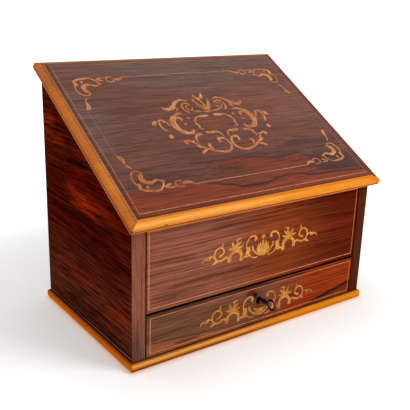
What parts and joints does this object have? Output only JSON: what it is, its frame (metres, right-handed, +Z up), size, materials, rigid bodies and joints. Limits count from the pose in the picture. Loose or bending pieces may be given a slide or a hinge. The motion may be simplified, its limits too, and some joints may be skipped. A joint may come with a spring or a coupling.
{
  "type": "writing slope",
  "caption": "Slant-top wooden writing box with a hinged lid, a drop-down front, a letter rack inside, and a drawer with a lock and key below.",
  "frame": {"origin": "centre of the case on its underside, where it rests on a table", "axes": "+X to the right seen from the front, +Y to the back, +Z up"},
  "size_m": [0.377, 0.2609, 0.3147],
  "materials": {
    "golden_moulding": "polished light hardwood",
    "rosewood": "polished rosewood veneer",
    "brass": "aged brass",
    "lock_brass": "aged brass",
    "dark_steel": "dark worn steel",
    "leather": "dark red writing leather",
    "satinwood": "plain oiled light wood",
    "mahogany": "plain carcase wood"
  },
  "bodies": {
    "case": {"base_board": "mahogany", "base_moulding_front": "golden_moulding", "base_moulding_back": "golden_moulding", "base_moulding_left": "golden_moulding", "base_moulding_right": "golden_moulding", "side_board_left": "rosewood", "side_board_right": "rosewood", "front_stile_left": "rosewood", "front_stile_right": "rosewood", "back_board": "mahogany", "dust_board": "mahogany", "rack_end_left": "satinwood", "rack_end_right": "satinwood", "rack_partition_front": "satinwood", "rack_partition_middle": "satinwood", "rack_partition_back": "satinwood", "rack_divider": "satinwood", "lid_hinge_case_leaf_left": "brass", "lid_hinge_case_leaf_right": "brass", "lid_hinge_pin_left": "brass", "lid_hinge_pin_right": "brass", "lid_hinge_screws_case": "brass", "fall_pivot_pin_plate_left": "brass", "fall_pivot_pin_plate_right": "brass", "pivot_screws_case": "brass"},
    "lid": {"lid_board": "mahogany", "lid_veneer": "rosewood", "lid_moulding_front": "golden_moulding", "lid_moulding_back": "golden_moulding", "lid_moulding_left": "golden_moulding", "lid_moulding_right": "golden_moulding", "lid_front_rail": "rosewood", "lid_hinge_lid_leaf_left": "brass", "lid_hinge_lid_leaf_right": "brass", "lid_hinge_screws_lid": "brass"},
    "fall": {"fall_panel": "rosewood", "fall_leather_lining": "leather", "fall_pivot_eye_plate_left": "brass", "fall_pivot_eye_plate_right": "brass", "pivot_screws_fall": "brass"},
    "drawer": {"drawer_front": "rosewood", "drawer_side_left": "satinwood", "drawer_side_right": "satinwood", "drawer_back": "satinwood", "drawer_bottom": "satinwood", "lock_plate": "lock_brass", "lock_case": "lock_brass", "lock_screws": "lock_brass"},
    "bolt": {"lock_bolt": "lock_brass"},
    "key": {"key": "dark_steel"}
  },
  "joints": [
    {"name": "lid_hinge", "type": "hinge", "parent": "case", "child": "lid", "pos_m": [0, 0.11485, 0.30665], "axis": [-1, 0, 0], "range_deg": [0, 125]},
    {"name": "fall_hinge", "type": "hinge", "parent": "case", "child": "fall", "pos_m": [0, -0.10775, 0.0706], "axis": [1, 0, 0], "range_deg": [0, 90]},
    {"name": "drawer_slide", "type": "slide", "parent": "case", "child": "drawer", "axis": [0, -1, 0], "range_m": [0, 0.17]},
    {"name": "key_turn", "type": "hinge", "parent": "drawer", "child": "key", "pos_m": [0, -0.11175, 0.0438], "axis": [0, 1, 0], "range_deg": [0, 360]},
    {"name": "bolt_throw", "type": "slide", "parent": "drawer", "child": "bolt", "axis": [0, 0, 1], "range_m": [0, 0.005]}
  ],
  "couplings": [
    {"joint": "key_turn", "follows": "bolt_throw", "rad_per_m": 1256.6}
  ]
}
